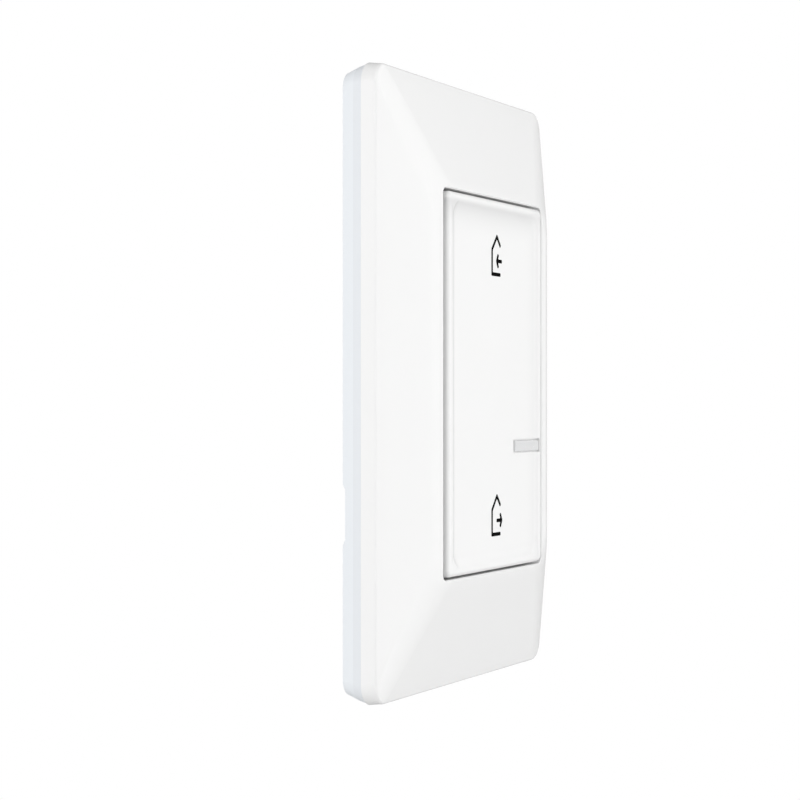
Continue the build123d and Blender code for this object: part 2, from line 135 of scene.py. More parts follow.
class Graph:
    """Thin helper round a node tree, so that finishes read as a list of nodes and links."""

    def __init__(self, tree: bpy.types.NodeTree) -> None:
        """Keep the tree that nodes go into.

        Args:
            tree: Node tree of a material, world or group.
        """
        self.tree = tree

    def add(self, kind: str, **settings: object) -> bpy.types.Node:
        """Add one node.

        Args:
            kind: Blender's name for the node.
            **settings: Properties of the node to set.

        Returns:
            The new node.
        """
        node = self.tree.nodes.new(kind)
        for name, value in settings.items():
            setattr(node, name, value)
        return node

    def link(self, start: Socket, end: Socket) -> None:
        """Join an output socket to an input socket.

        Args:
            start: Output socket.
            end: Input socket.
        """
        self.tree.links.new(start, end)

    def feed(self, value: object, end: Socket) -> None:
        """Feed an input from a socket, or set it to a plain value.

        Args:
            value: Socket, number, vector or colour.
            end: Input socket.
        """
        if isinstance(value, Socket):
            self.link(value, end)
        else:
            end.default_value = (*value, 1.0) if end.type == "RGBA" else value

    def fed(self, node: bpy.types.Node, values: dict[object, object]) -> bpy.types.Node:
        """Feed several inputs of a node.

        Args:
            node: The node.
            values: Socket or plain value for each input, by its name or number.

        Returns:
            The same node.
        """
        for name, value in values.items():
            self.feed(value, node.inputs[name])
        return node

    def math(self, operation: str, first: object, second: object) -> Socket:
        """Add a Math node.

        Args:
            operation: Blender's name for the operation.
            first: Socket or number.
            second: Socket or number.

        Returns:
            The node's output.
        """
        node = self.add("ShaderNodeMath", operation=operation)
        return self.fed(node, {0: first, 1: second}).outputs[0]

    def vector(self, operation: str, *values: object) -> bpy.types.Node:
        """Add a Vector Math node.

        Args:
            operation: Blender's name for the operation.
            *values: Sockets or vectors.

        Returns:
            The new node.
        """
        node = self.add("ShaderNodeVectorMath", operation=operation)
        return self.fed(node, dict(enumerate(values)))

    def noise(self, place: Socket, scale: object, detail: float, roughness: float = 0.5) -> Socket:
        """Add a Noise texture.

        Args:
            place: Socket with the place on the object.
            scale: Socket or number, in features per metre.
            detail: Number of finer layers.
            roughness: Share of the finer layers.

        Returns:
            The noise, from 0 to 1.
        """
        values = {"Vector": place, "Scale": scale, "Detail": detail, "Roughness": roughness}
        return self.fed(self.add("ShaderNodeTexNoise"), values).outputs[0]

    def mix(self, share: object, first: object, second: object) -> Socket:
        """Add a colour Mix node.

        Args:
            share: Socket or number that goes from the first colour to the second.
            first: Socket or colour.
            second: Socket or colour.

        Returns:
            The mixed colour.
        """
        node = self.add("ShaderNodeMix", data_type="RGBA")
        values = {MIX_SHARE: share, MIX_FIRST: first, MIX_SECOND: second}
        return self.fed(node, values).outputs[MIX_RESULT]

    def span(self, value: Socket, low: object, high: object) -> Socket:
        """Map a value from 0..1 to a span.

        Args:
            value: Socket to map.
            low: Socket or number at 0.
            high: Socket or number at 1.

        Returns:
            The mapped value.
        """
        node = self.add("ShaderNodeMapRange")
        return self.fed(node, {"Value": value, "To Min": low, "To Max": high}).outputs[0]

    def group(self, tree: bpy.types.NodeTree, values: dict[str, object]) -> bpy.types.Node:
        """Add a node for a group.

        Args:
            tree: The group.
            values: Socket or plain value for each input.

        Returns:
            The new node.
        """
        return self.fed(self.add("ShaderNodeGroup", node_tree=tree), values)


def new_group(
    name: str, inputs: dict[str, str], outputs: dict[str, str]
) -> tuple[Graph, bpy.types.Node, bpy.types.Node]:
    """Start a shader node group.

    Args:
        name: Name of the group.
        inputs: Socket kind for each input name.
        outputs: Socket kind for each output name.

    Returns:
        The group's graph, and its input and output nodes.
    """
    tree = bpy.data.node_groups.new(name, "ShaderNodeTree")
    for label, kind in inputs.items():
        tree.interface.new_socket(label, in_out="INPUT", socket_type=f"NodeSocket{kind}")
    for label, kind in outputs.items():
        tree.interface.new_socket(label, in_out="OUTPUT", socket_type=f"NodeSocket{kind}")
    graph = Graph(tree)
    return graph, graph.add("NodeGroupInput"), graph.add("NodeGroupOutput")


SURFACE_INPUTS = {
    "Coordinate": "Vector",
    "Colour": "Color",
    "Shade": "Color",
    "Smooth": "Float",
    "Rough": "Float",
    "Grain Scale": "Float",
}
SURFACE_OUTPUTS = {"Colour": "Color", "Roughness": "Float", "Height": "Float"}

SPARK_DETAIL = 4.0
SPARK_ROUGHNESS = 0.62
SPARK_GLOSS = 0.6
DRIFT_SCALE = 46.0
DRIFT_DETAIL = 2.0
DRIFT_GLOSS = 0.4
LINE_STRETCH = (1.0, 1.0, 0.03)
LINE_DETAIL = 3.0
TRACK_OFFSET = 0.35
TRACK_SQUASH = 0.6
TRACK_SIZES = {"Mortar Size": 0.045, "Mortar Smooth": 0.2, "Brick Width": 2.4, "Row Height": 0.32}
# Inputs and fall-off of the painted shade along the rocker's borders
PAINTED_SHADE_INPUTS = {"Coordinate": "Vector", "Axis": "Vector", "Edge": "Float", "Rise": "Float", "Run": "Float"}
PAINTED_SHADE_FALL = 2.5


def close_grain(
    graph: Graph, start: bpy.types.Node, end: bpy.types.Node, tone: Socket, gloss: Socket, height: Socket
) -> bpy.types.NodeTree:
    """Join what a grain varies to the outputs of its group.

    Args:
        graph: Graph of the group.
        start: Input node of the group.
        end: Output node of the group.
        tone: Share that goes from the colour to the shade.
        gloss: Share that goes from smooth to rough.
        height: Height of the grain.

    Returns:
        The node group.
    """
    given = start.outputs
    graph.link(graph.mix(tone, given["Colour"], given["Shade"]), end.inputs["Colour"])
    graph.link(graph.span(gloss, given["Smooth"], given["Rough"]), end.inputs["Roughness"])
    graph.link(height, end.inputs["Height"])
    return graph.tree


def mould_grain() -> bpy.types.NodeTree:
    """Build the grain of moulded plastic: fine spark texture, drifting gloss and a faint drift of colour.

    Returns:
        The node group.
    """
    graph, start, end = new_group("mould_grain", SURFACE_INPUTS, SURFACE_OUTPUTS)
    place = start.outputs["Coordinate"]
    spark = graph.noise(place, start.outputs["Grain Scale"], SPARK_DETAIL, SPARK_ROUGHNESS)
    drift = graph.noise(place, DRIFT_SCALE, DRIFT_DETAIL)
    spark_gloss = graph.math("MULTIPLY", spark, SPARK_GLOSS)
    gloss = graph.math("ADD", spark_gloss, graph.math("MULTIPLY", drift, DRIFT_GLOSS))
    return close_grain(graph, start, end, drift, gloss, spark)


def rolled_grain() -> bpy.types.NodeTree:
    """Build the grain of rolled or brushed sheet: long fine lines up the sheet.

    Returns:
        The node group.
    """
    graph, start, end = new_group("rolled_grain", SURFACE_INPUTS, SURFACE_OUTPUTS)
    place = graph.vector("MULTIPLY", start.outputs["Coordinate"], LINE_STRETCH).outputs["Vector"]
    lines = graph.noise(place, start.outputs["Grain Scale"], LINE_DETAIL)
    return close_grain(graph, start, end, lines, lines, lines)


def board_tracks() -> bpy.types.NodeTree:
    """Build the face of a circuit board: rows of tracks that show through the solder mask.

    Returns:
        The node group.
    """
    graph, start, end = new_group("board_tracks", SURFACE_INPUTS, SURFACE_OUTPUTS)
    split = graph.add("ShaderNodeSeparateXYZ")
    graph.link(start.outputs["Coordinate"], split.inputs[0])
    flat = graph.fed(graph.add("ShaderNodeCombineXYZ"), {"X": split.outputs["Z"], "Y": split.outputs["X"]})
    rows = graph.add("ShaderNodeTexBrick", offset=TRACK_OFFSET, squash=TRACK_SQUASH)
    graph.fed(rows, {"Vector": flat.outputs[0], "Scale": start.outputs["Grain Scale"], **TRACK_SIZES})
    track = rows.outputs["Fac"]
    return close_grain(graph, start, end, track, track, track)


def painted_edge_shade() -> bpy.types.NodeTree:
    """Build the mask of a painted shade along one edge of a face, which sets in at the edge and fades
    inwards.

    Returns:
        The node group.
    """
    graph, start, end = new_group("painted_edge_shade", PAINTED_SHADE_INPUTS, {"Mask": "Float"})
    given = start.outputs
    along = graph.vector("DOT_PRODUCT", given["Coordinate"], given["Axis"]).outputs["Value"]
    inwards = graph.math("SUBTRACT", given["Edge"], along)
    onset = graph.add("ShaderNodeMapRange", interpolation_type="SMOOTHSTEP")
    outside = graph.math("MULTIPLY", given["Rise"], -1.0)
    graph.fed(onset, {"Value": inwards, "From Min": outside, "From Max": given["Rise"]})
    share = graph.math("MAXIMUM", graph.math("DIVIDE", inwards, given["Run"]), 0.0)
    left = graph.math("SUBTRACT", 1.0, graph.math("MINIMUM", share, 1.0))
    fade = graph.math("POWER", left, PAINTED_SHADE_FALL)
    graph.link(graph.math("MULTIPLY", onset.outputs[0], fade), end.inputs["Mask"])
    return graph.tree


@dataclass(frozen=True)
class PaintedEdgeShade:
    """Painted shade along one edge of a face, told by the axis that points to the edge."""

    axis: Place
    edge: float
    rise: float
    run: float
    colour: Colour

    def lay(self, graph: Graph, group: bpy.types.NodeTree, place: Socket, colour: Socket) -> Socket:
        """Mix the painted shade into a colour.

        Args:
            graph: Graph of the material.
            group: The painted shade's group.
            place: Socket with the place on the object.
            colour: Socket with the colour so far.

        Returns:
            Socket with the new colour.
        """
        values = {
            "Coordinate": place,
            "Axis": self.axis,
            "Edge": self.edge,
            "Rise": self.rise,
            "Run": self.run,
        }
        return graph.mix(graph.group(group, values).outputs["Mask"], colour, self.colour)


class Effects:
    """Shared node groups, each built once."""

    def __init__(self) -> None:
        """Build the groups."""
        self.groups = {
            Pattern.MOULD: mould_grain(),
            Pattern.ROLLED: rolled_grain(),
            Pattern.TRACKS: board_tracks(),
        }
        # Group for the painted shade along the rocker's borders
        self.shade = painted_edge_shade()


@dataclass(frozen=True)
class Accent:
    """Second colour on part of a piece, or a painted shade band, told by the distance from a centre along
    some axes.
    """

    centre: Place
    axes: Place
    limit: float
    beyond: bool
    colour: Colour
    metal: bool = False

    def mask(self, graph: Graph, place: Socket) -> Socket:
        """Make the mask of the accent.

        Args:
            graph: Graph of the material.
            place: Socket with the place on the object.

        Returns:
            Socket that is 1 on the accent and 0 elsewhere.
        """
        shift = graph.vector("SUBTRACT", place, self.centre).outputs["Vector"]
        along = graph.vector("MULTIPLY", shift, self.axes).outputs["Vector"]
        reach = graph.vector("LENGTH", along).outputs["Value"]
        return graph.math("GREATER_THAN" if self.beyond else "LESS_THAN", reach, self.limit)


@dataclass(frozen=True)
class Finish:
    """Finish of one material: two near colours, a span of gloss and a grain.

    The grain's scale is in features per metre and its depth in metres. The accent and
    the painted shades are laid over the colour; on the frame the accent is a painted shade band.
    """

    name: str
    colour: Colour
    shade: Colour
    smooth: float
    rough: float
    grain_scale: float
    grain_depth: float
    grain_strength: float = 0.25
    metal: bool = False
    coat: float = 0.0
    specular: float = 0.5
    tracks: bool = False
    accent: Accent | None = None
    painted_shades: tuple[PaintedEdgeShade, ...] = ()

    @property
    def pattern(self) -> Pattern:
        """Grain that the finish is built on."""
        if self.tracks:
            return Pattern.TRACKS
        return Pattern.ROLLED if self.metal else Pattern.MOULD

    def surface(self, effects: Effects) -> tuple[bpy.types.Material, bpy.types.Node]:
        """Make the material with its grain group in place.

        Args:
            effects: The shared groups.

        Returns:
            The material and its shader.
        """
        material = bpy.data.materials.new(self.name)
        material.use_nodes = True
        graph = Graph(material.node_tree)
        shader = graph.tree.nodes["Principled BSDF"]
        place = graph.add("ShaderNodeTexCoord").outputs["Object"]
        values = {
            "Coordinate": place,
            "Colour": self.colour,
            "Shade": self.shade,
            "Smooth": self.smooth,
            "Rough": self.rough,
            "Grain Scale": self.grain_scale,
        }
        grain = graph.group(effects.groups[self.pattern], values)
        colour = grain.outputs["Colour"]
        metallic = 1.0 if self.metal else 0.0
        if self.accent:
            mask = self.accent.mask(graph, place)
            colour = graph.mix(mask, colour, self.accent.colour)
            metallic = mask if self.accent.metal else metallic
        # Painted shade: darker colour along the rocker's upper and right borders
        for shade in self.painted_shades:
            colour = shade.lay(graph, effects.shade, place, colour)
        bump = graph.add("ShaderNodeBump")
        values = {
            "Strength": self.grain_strength,
            "Distance": self.grain_depth,
            "Height": grain.outputs["Height"],
        }
        graph.fed(bump, values)
        values = {
            "Base Color": colour,
            "Metallic": metallic,
            "Roughness": grain.outputs["Roughness"],
            "Normal": bump.outputs["Normal"],
            "Coat Weight": self.coat,
            "Specular IOR Level": self.specular,
        }
        graph.fed(shader, values)
        material.diffuse_color = (*self.colour, 1.0)
        return material, shader

    def material(self, effects: Effects) -> bpy.types.Material:
        """Make the material alone.

        Args:
            effects: The shared groups.

        Returns:
            The material.
        """
        return self.surface(effects)[0]


# Each row has a name, colour, shade, smooth and rough end of the gloss, grain scale and grain depth
FINISHES = {
    Slot.PLATE: Finish(
        "plate_white", (0.872, 0.872, 0.870), (0.862, 0.862, 0.860), 0.20, 0.28, 5200.0, 4 * UM
    ),
    Slot.FRAME: Finish(
        "frame_cool_white", (0.815, 0.845, 0.875), (0.800, 0.830, 0.862), 0.40, 0.52, 4300.0, 6 * UM
    ),
    Slot.KEY: Finish(
        "key_white", (0.872, 0.872, 0.870), (0.862, 0.862, 0.860), 0.20, 0.28, 5200.0, 4 * UM
    ),
    Slot.LIGHT_BAR: Finish(
        "light_bar_grey", (0.700, 0.705, 0.710), (0.670, 0.676, 0.682), 0.22, 0.32, 3000.0, 3 * UM, coat=0.2
    ),
    # Real part, near-black so that the gaps round the rocker show dark: its colour is in part a painted shade
    Slot.CHASSIS: Finish(
        "chassis_dark", (0.030, 0.030, 0.032), (0.022, 0.022, 0.024), 0.50, 0.62, 4300.0, 10 * UM
    ),
    Slot.HOUSING: Finish(
        "housing_grey", (0.640, 0.650, 0.660), (0.610, 0.620, 0.630), 0.42, 0.55, 4300.0, 8 * UM
    ),
    Slot.PAD: Finish(
        "pad_foam", (0.760, 0.755, 0.730), (0.700, 0.695, 0.668), 0.62, 0.80, 3400.0, 60 * UM, 0.6
    ),
    Slot.SCREW: Finish(
        "screw_zinc", (0.560, 0.570, 0.590), (0.440, 0.450, 0.470), 0.26, 0.42, 9000.0, 4 * UM, metal=True
    ),
    Slot.BOARD: Finish(
        "board_mask", (0.010, 0.105, 0.044), (0.030, 0.190, 0.085), 0.22, 0.34, 620.0, 20 * UM, tracks=True
    ),
    Slot.COIN: Finish(
        "coin_steel", (0.640, 0.635, 0.620), (0.540, 0.535, 0.520), 0.20, 0.34, 9000.0, 3 * UM, metal=True
    ),
    Slot.CONTACT: Finish(
        "contact_nickel", (0.660, 0.620, 0.540), (0.560, 0.520, 0.450), 0.20, 0.36, 9000.0, 3 * UM, metal=True
    ),
    Slot.SWITCH_BASE: Finish(
        "switch_base_black", (0.020, 0.020, 0.021), (0.014, 0.014, 0.015), 0.40, 0.55, 6000.0, 6 * UM
    ),
    Slot.SWITCH_COVER: Finish(
        "switch_cover_steel",
        (0.620, 0.625, 0.630),
        (0.500, 0.505, 0.510),
        0.20,
        0.36,
        9000.0,
        3 * UM,
        metal=True,
    ),
    Slot.PLUNGER: Finish(
        "plunger_black", (0.030, 0.030, 0.031), (0.022, 0.022, 0.023), 0.34, 0.46, 6000.0, 5 * UM
    ),
    Slot.RADIO_BOARD: Finish(
        "radio_mask", (0.008, 0.034, 0.075), (0.020, 0.080, 0.150), 0.22, 0.34, 900.0, 16 * UM, tracks=True
    ),
    Slot.SHIELD: Finish(
        "shield_tin", (0.640, 0.640, 0.630), (0.540, 0.540, 0.530), 0.22, 0.38, 8000.0, 4 * UM, metal=True
    ),
    Slot.ANTENNA: Finish(
        "antenna_ceramic", (0.760, 0.750, 0.700), (0.720, 0.710, 0.660), 0.40, 0.55, 7000.0, 5 * UM
    ),
    Slot.LED: Finish(
        "led_package", (0.800, 0.800, 0.780), (0.770, 0.770, 0.750), 0.16, 0.26, 5000.0, 3 * UM, coat=0.4
    ),
    Slot.CAPACITOR: Finish(
        "capacitor_case", (0.620, 0.380, 0.060), (0.560, 0.340, 0.050), 0.40, 0.55, 6000.0, 6 * UM
    ),
}
STAMP = replace(
    FINISHES[Slot.COIN], name="stamp_steel", colour=(0.170, 0.168, 0.160), shade=(0.120, 0.118, 0.112)
)
SEAL = replace(
    FINISHES[Slot.HOUSING], name="seal_white", colour=(0.800, 0.800, 0.800), shade=(0.770, 0.770, 0.770)
)
CLEAR = Finish(
    "light_guide_clear", (0.930, 0.945, 0.950), (0.900, 0.915, 0.920), 0.04, 0.16, 2500.0, 3 * UM
)
CLEAR_IOR = 1.49
INK = Finish(
    "sign_ink", (0.005, 0.005, 0.005), (0.008, 0.008, 0.008), 0.55, 0.70, 7000.0, 3 * UM, specular=0.0
)
TIN = (0.640, 0.630, 0.610)
PHOSPHOR = (0.820, 0.600, 0.080)
# Painted shade: darker colour for the frame's band under the plate's rim
FRAME_BAND_PAINTED_SHADE = (0.765, 0.790, 0.820)
# Painted shade: darker colours along the rocker's upper and right borders
TOP_PAINTED_SHADE = (0.690, 0.690, 0.690)
SIDE_PAINTED_SHADE = (0.795, 0.795, 0.795)
ACROSS = (1.0, 0.0, 0.0)
DEEP = (0.0, 1.0, 0.0)
UP = (0.0, 0.0, 1.0)
IN_FACE = (1.0, 0.0, 1.0)


def clear_material(effects: Effects) -> bpy.types.Material:
    """Make the clear plastic of the light guide.

    Args:
        effects: The shared groups.

    Returns:
        The material.
    """
    material, shader = CLEAR.surface(effects)
    shader.inputs["Transmission Weight"].default_value = 1.0
    shader.inputs["IOR"].default_value = CLEAR_IOR
    return material


def deselect_all() -> None:
    """Go to object mode with nothing selected."""
    if bpy.context.object and bpy.context.object.mode != "OBJECT":
        bpy.ops.object.mode_set(mode="OBJECT")
    bpy.ops.object.select_all(action="DESELECT")


def make_active(piece: bpy.types.Object) -> None:
    """Select one piece alone and make it active.

    Args:
        piece: The piece.
    """
    deselect_all()
    piece.select_set(True)
    bpy.context.view_layer.objects.active = piece


def joined(pieces: list[bpy.types.Object], name: str) -> bpy.types.Object:
    """Join pieces into one.

    Args:
        pieces: The pieces.
        name: Name of the whole.

    Returns:
        The whole.
    """
    make_active(pieces[0])
    for piece in pieces[1:]:
        piece.select_set(True)
    if len(pieces) > 1:
        bpy.ops.object.join()
    whole = bpy.context.object
    whole.name = name
    return whole


def thicken(way: float) -> None:
    """Extrude the flat mesh in edit mode along the depth, turn its faces outward and leave edit mode.

    Args:
        way: Length of the extrusion, below zero towards the front.
    """
    bpy.ops.mesh.select_all(action="SELECT")
    bpy.ops.mesh.extrude_region_move(TRANSFORM_OT_translate={"value": (0.0, way, 0.0)})
    bpy.ops.mesh.select_all(action="SELECT")
    bpy.ops.mesh.normals_make_consistent(inside=False)
    bpy.ops.object.mode_set(mode="OBJECT")


class Dressed:
    """Anything that is modelled as one piece with one material."""

    def dress(self, piece: bpy.types.Object, material: bpy.types.Material) -> None:
        """Give the piece its material and report it.

        Args:
            piece: The piece.
            material: Its one material.
        """
        piece.data.materials.clear()
        piece.data.materials.append(material)
        LOG.info("%s: %d faces", piece.name, len(piece.data.polygons))


@dataclass
class Shell(Dressed):
    """Smooth shell that stands for one modelled node, with the node's own form."""

    node: str
    body: Body
    slot: Slot
    smooth_angle_deg: float = 25.0
    weld: float = 0.002 * MM

    def build(self) -> bpy.types.Object:
        """Copy the node's mesh, weld it and give it even, area-weighted normals.

        Returns:
            The new piece, riding on its body.
        """
        mesh = frame["nodes"][self.node].data.copy()
        piece = bpy.data.objects.new(f"{self.node}_shell", mesh)
        bpy.context.scene.collection.objects.link(piece)
        make_active(piece)
        bpy.ops.mesh.customdata_custom_splitnormals_clear()
        bpy.ops.object.mode_set(mode="EDIT")
        bpy.ops.mesh.select_all(action="SELECT")
        bpy.ops.mesh.remove_doubles(threshold=self.weld)
        bpy.ops.object.mode_set(mode="OBJECT")
        bpy.ops.object.shade_smooth_by_angle(angle=math.radians(self.smooth_angle_deg))
        even = piece.modifiers.new("even_normals", "WEIGHTED_NORMAL")
        even.keep_sharp = True
        bpy.ops.object.modifier_apply(modifier=even.name)
        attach(piece, self.body.value)
        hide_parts(self.node)
        return piece


def mitred(path: list[Point], widths: list[float]) -> list[Point]:
    """Outline of a stroke with mitred corners and square ends.

    Args:
        path: Points of the stroke's middle line.
        widths: Width of each of its runs.

    Returns:
        Points of the closed outline.
    """
    points = [Vector(point) for point in path]
    sides = []
    for start, stop, width in zip(points, points[1:], widths):
        along = (stop - start).normalized()
        sides.append((Vector((-along.y, along.x)), width / 2))
    left, right = [], []
    for index, point in enumerate(points):
        before, before_half = sides[max(index - 1, 0)]
        after, after_half = sides[min(index, len(sides) - 1)]
        reach = after * after_half
        if before is not after:
            share = before.cross(after)
            across = (before_half * after.y - after_half * before.y) / share
            up = (after_half * before.x - before_half * after.x) / share
            reach = Vector((across, up))
        left.append(tuple(point + reach))
        right.append(tuple(point - reach))
    return left + right[::-1]


@dataclass(kw_only=True)
class Print(Dressed):
    """Thin raised print on a flat face that looks along the depth.

    Places are across from the middle of the switch, and up from it.
    """

    name: str
    body: Body
    slot: Slot
    facing: Facing = Facing.FRONT
    stroke: float = 0.75 * MM
    end_round: float = 0.35
    end_segments: int = 5
    thickness: float = 0.03 * MM
    sunk: float = 0.01 * MM

    def outlines(self) -> list[list[Point]]:
        """List the closed outlines of the print."""
        raise NotImplementedError

    def raise_outline(self, outline: list[Point], level: float) -> bpy.types.Object:
        """Make one closed outline into a thin raised print with round ends.

        Args:
            outline: Points across and up the face.
            level: Place of the face along the depth.

        Returns:
            The new piece.
        """
        deselect_all()
        bpy.ops.mesh.primitive_circle_add(vertices=len(outline), radius=self.stroke, fill_type="NGON")
        piece = bpy.context.object
        for vertex, (x, z) in zip(piece.data.vertices, outline):
            vertex.co = (x, level - self.facing.value * self.sunk, z)
        bpy.ops.object.mode_set(mode="EDIT")
        bpy.ops.mesh.select_all(action="SELECT")
        offset = self.stroke * self.end_round
        bpy.ops.mesh.bevel(offset=offset, segments=self.end_segments, affect="VERTICES", clamp_overlap=True)
        thicken(self.facing.value * (self.thickness + self.sunk))
        return piece

    def build(self, level: float) -> bpy.types.Object:
        """Raise every outline and join them into one piece that rides on its body.

        Args:
            level: Place of the printed face along the depth.

        Returns:
            The new piece.
        """
        whole = joined([self.raise_outline(outline, level) for outline in self.outlines()], self.name)
        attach(whole, self.body.value)
        return whole


@dataclass(kw_only=True)
class HouseSign(Print):
    """Sign on the rocker: an open house with an arrow going in or coming out."""

    way: Way
    floor: float
    arrow_tip: float
    arrow_tail: float
    roof_stroke: float = 0.70 * MM
    wall_stroke: float = 0.67 * MM
    middle: float = 0.58 * MM
    wall: float = -1.85 * MM
    floor_end: float = 2.40 * MM
    roof_end: float = 2.38 * MM
    eave_rise: float = 4.95 * MM
    apex_rise: float = 7.66 * MM
    arrow_stroke: float = 0.73 * MM
    arrow_rise: float = 2.73 * MM
    arrow_arm: float = 1.56 * MM
    arrow_angle_deg: float = 61.0

    def house(self) -> list[Point]:
        """Outline of the house: roof, left wall and floor, open at the right."""
        eave = self.floor + self.eave_rise
        apex = self.floor + self.apex_rise
        slope = (apex - eave) / (self.middle - self.wall)
        path = [
            (self.roof_end, apex - slope * (self.roof_end - self.middle)),
            (self.middle, apex),
            (self.wall, eave),
            (self.wall, self.floor),
            (self.floor_end, self.floor),
        ]
        widths = [self.roof_stroke, self.roof_stroke, self.wall_stroke, self.stroke]
        return mitred(path, widths)

    def arrow(self) -> list[Point]:
        """Outline of the arrow: two arms and a shaft, as one closed line from its tip."""
        half = self.arrow_stroke / 2
        turn = math.radians(self.arrow_angle_deg)
        along = Vector((math.cos(turn), math.sin(turn)))
        outward = Vector((-along.y, along.x)) * half
        root = Vector((half / along.y, 0.0))
        crotch = root - outward + along * (half * (1 + along.x) / along.y)
        end = root + along * self.arrow_arm
        upper = [
            end + outward,
            end - outward,
            crotch,
            Vector((abs(self.arrow_tail - self.arrow_tip), half)),
        ]
        outline = [Vector((0.0, 0.0)), *upper, *(Vector((point.x, -point.y)) for point in reversed(upper))]
        rise = self.floor + self.arrow_rise
        return [(self.arrow_tip - self.way.value * point.x, rise + point.y) for point in outline]

    def outlines(self) -> list[list[Point]]:
        """List the outlines of the house and of its arrow."""
        return [self.house(), self.arrow()]


@dataclass(kw_only=True)
class PlusMark(Print):
    """Plain plus sign on the back of the battery."""

    centre: float
    arm: float = 2.6 * MM

    def outlines(self) -> list[list[Point]]:
        """List the one outline of the sign."""
        half = self.stroke / 2
        quarter = [(self.arm, -half), (self.arm, half), (half, half)]
        turned = []
        for turn in range(4):
            for x, z in quarter:
                for _ in range(turn):
                    x, z = -z, x
                turned.append((x, self.centre + z))
        return [turned]


@dataclass
class BarSeal(Dressed):
    """Pale bead that fills the slot round the light bar, a little under the rocker's face."""

    right: float = 22.20 * MM
    length: float = 13.05 * MM
    height: float = 2.80 * MM
    middle: float = -12.56 * MM
    fit: float = 0.25 * MM
    clearance: float = 0.01 * MM
    recess: float = 0.15 * MM
    depth: float = 0.80 * MM

    def build(self, level: float) -> bpy.types.Object:
        """Model the bead as a thin ring that rides on the rocker.

        Args:
            level: Place of the rocker's face along the depth.

        Returns:
            The new piece.
        """
        deselect_all()
        bpy.ops.mesh.primitive_plane_add(size=1.0)
        piece = bpy.context.object
        piece.name = "bar_seal"
        for vertex in piece.data.vertices:
            across = self.right - self.length / 2 + vertex.co.x * (self.length - 2 * self.clearance)
            up = self.middle + vertex.co.y * (self.height - 2 * self.clearance)
            vertex.co = (across, level + self.recess, up)
        bpy.ops.object.mode_set(mode="EDIT")
        bpy.ops.mesh.select_mode(type="FACE")
        bpy.ops.mesh.select_all(action="SELECT")
        bpy.ops.mesh.inset(thickness=self.fit - 2 * self.clearance)
        bpy.ops.mesh.delete(type="FACE")
        thicken(self.depth)
        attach(piece, Body.ROCKER.value)
        return piece


@dataclass
class FoamPads(Dressed):
    """Four foam pads with soft rounded sides, which hold the frame to the wall."""

    node: str = "adhesive_pads"
    width: float = 20.0 * MM
    height: float = 10.0 * MM
    corner: float = 1.0 * MM
    edge: float = 0.28 * MM
    crown: float = 0.12 * MM
    corner_segments: int = 6
    smooth_angle_deg: float = 60.0

    def pad(self, across: float, up: float, low: float, high: float) -> bpy.types.Object:
        """Model one pad between two places along the depth.

        Args:
            across: Middle of the pad, to the right.
            up: Middle of the pad, upwards.
            low: Front of the pad along the depth.
            high: Back of the pad along the depth.

        Returns:
            The new piece.
        """
        deselect_all()
        bpy.ops.mesh.primitive_cube_add(size=1.0)
        piece = bpy.context.object
        for vertex in piece.data.vertices:
            vertex.co.x = across + vertex.co.x * (self.width - 2 * self.crown)
            vertex.co.y = high if vertex.co.y > 0 else low
            vertex.co.z = up + vertex.co.z * (self.height - 2 * self.crown)
        for edge in piece.data.edges:
            first, second = (piece.data.vertices[index].co for index in edge.vertices)
            edge.select = abs(first.y - second.y) > self.edge
        bpy.ops.object.mode_set(mode="EDIT")
        bpy.ops.mesh.select_mode(type="EDGE")
        bpy.ops.mesh.bevel(offset=self.corner, segments=self.corner_segments, affect="EDGES")
        bpy.ops.mesh.select_all(action="SELECT")
        middle = (low + high) / 2
        bpy.ops.mesh.bisect(plane_co=(across, middle, up), plane_no=DEEP)
        bpy.ops.object.mode_set(mode="OBJECT")
        for vertex in piece.data.vertices:
            if abs(vertex.co.y - middle) < self.edge / 2:
                vertex.co.x += math.copysign(self.crown, vertex.co.x - across)
                vertex.co.z += math.copysign(self.crown, vertex.co.z - up)
        bpy.ops.object.shade_smooth_by_angle(angle=math.radians(self.smooth_angle_deg))
        return piece

    def build(self) -> bpy.types.Object:
        """Model the four pads inside their node's box and join them.

        Returns:
            The new piece.
        """
        low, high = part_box(self.node)
        pads = []
        for across in (low.x + self.width / 2, high.x - self.width / 2):
            for up in (low.z + self.height / 2, high.z - self.height / 2):
                pads.append(self.pad(across, up, low.y, high.y))
        whole = joined(pads, "foam_pads")
        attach(whole, Body.BASE.value)
        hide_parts(self.node)
        return whole


@dataclass(frozen=True)
class Lamp:
    """Square soft box, placed by its bearing from the front to the left, its rise and its distance."""

    name: str
    bearing_deg: float
    rise_deg: float
    distance: float
    size: float
    power: float
    mirrored: bool = True

    def place(self) -> Vector:
        """Return the middle of the box."""
        bearing = math.radians(self.bearing_deg)
        rise = math.radians(self.rise_deg)
        level = math.cos(rise)
        way = Vector((-math.sin(bearing) * level, -math.cos(bearing) * level, math.sin(rise)))
        return way * self.distance

    def build(self) -> None:
        """Add the lamp, turned to the object."""
        data = bpy.data.lights.new(self.name, "AREA")
        data.size = self.size
        data.energy = self.power
        lamp = bpy.data.objects.new(self.name, data)
        lamp.location = self.place()
        lamp.rotation_euler = (-self.place()).to_track_quat("-Z", "Y").to_euler()
        lamp.visible_camera = False
        lamp.visible_glossy = self.mirrored
        bpy.context.scene.collection.objects.link(lamp)


# Each row has a name, bearing, rise, distance, size and power
LAMPS = (
    Lamp("front_right_lamp", -25.0, 0.0, 1.0, 2.0, 6.40),
    Lamp("front_lamp", 0.0, 0.0, 1.0, 1.2, 5.95, mirrored=False),
    Lamp("left_lamp", 100.0, 4.0, 1.0, 0.6, 1.20),
    Lamp("rear_left_lamp", 130.0, 4.0, 1.0, 0.6, 3.65),
    Lamp("upper_left_lamp", 60.0, 34.0, 1.0, 0.6, 1.60),
)


